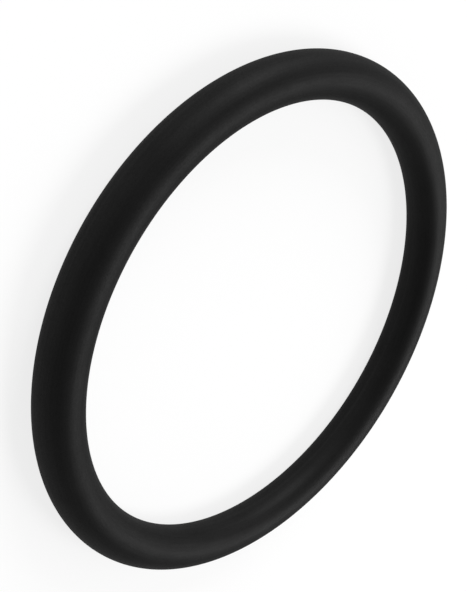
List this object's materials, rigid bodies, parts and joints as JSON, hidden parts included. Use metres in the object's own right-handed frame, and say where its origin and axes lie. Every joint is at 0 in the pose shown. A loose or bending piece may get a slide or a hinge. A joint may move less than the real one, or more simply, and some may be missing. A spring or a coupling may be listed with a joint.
{
  "type": "o-ring",
  "caption": "Plain round-section rubber sealing ring, moulded in one piece, lying flat with its axis upright.",
  "frame": {"origin": "centre of the ring, on the plane of the mould's parting line, half the section's thickness above what it lies on", "axes": "+Z along the ring's axis, upright as the ring lies; X and Y across the ring, all directions alike"},
  "size_m": [0.0432, 0.0432, 0.0036],
  "materials": {
    "black_rubber": "near-black moulded nitrile rubber, satin, with a fine even grain"
  },
  "bodies": {
    "root": {"o_ring": "black_rubber"}
  },
  "joints": []
}
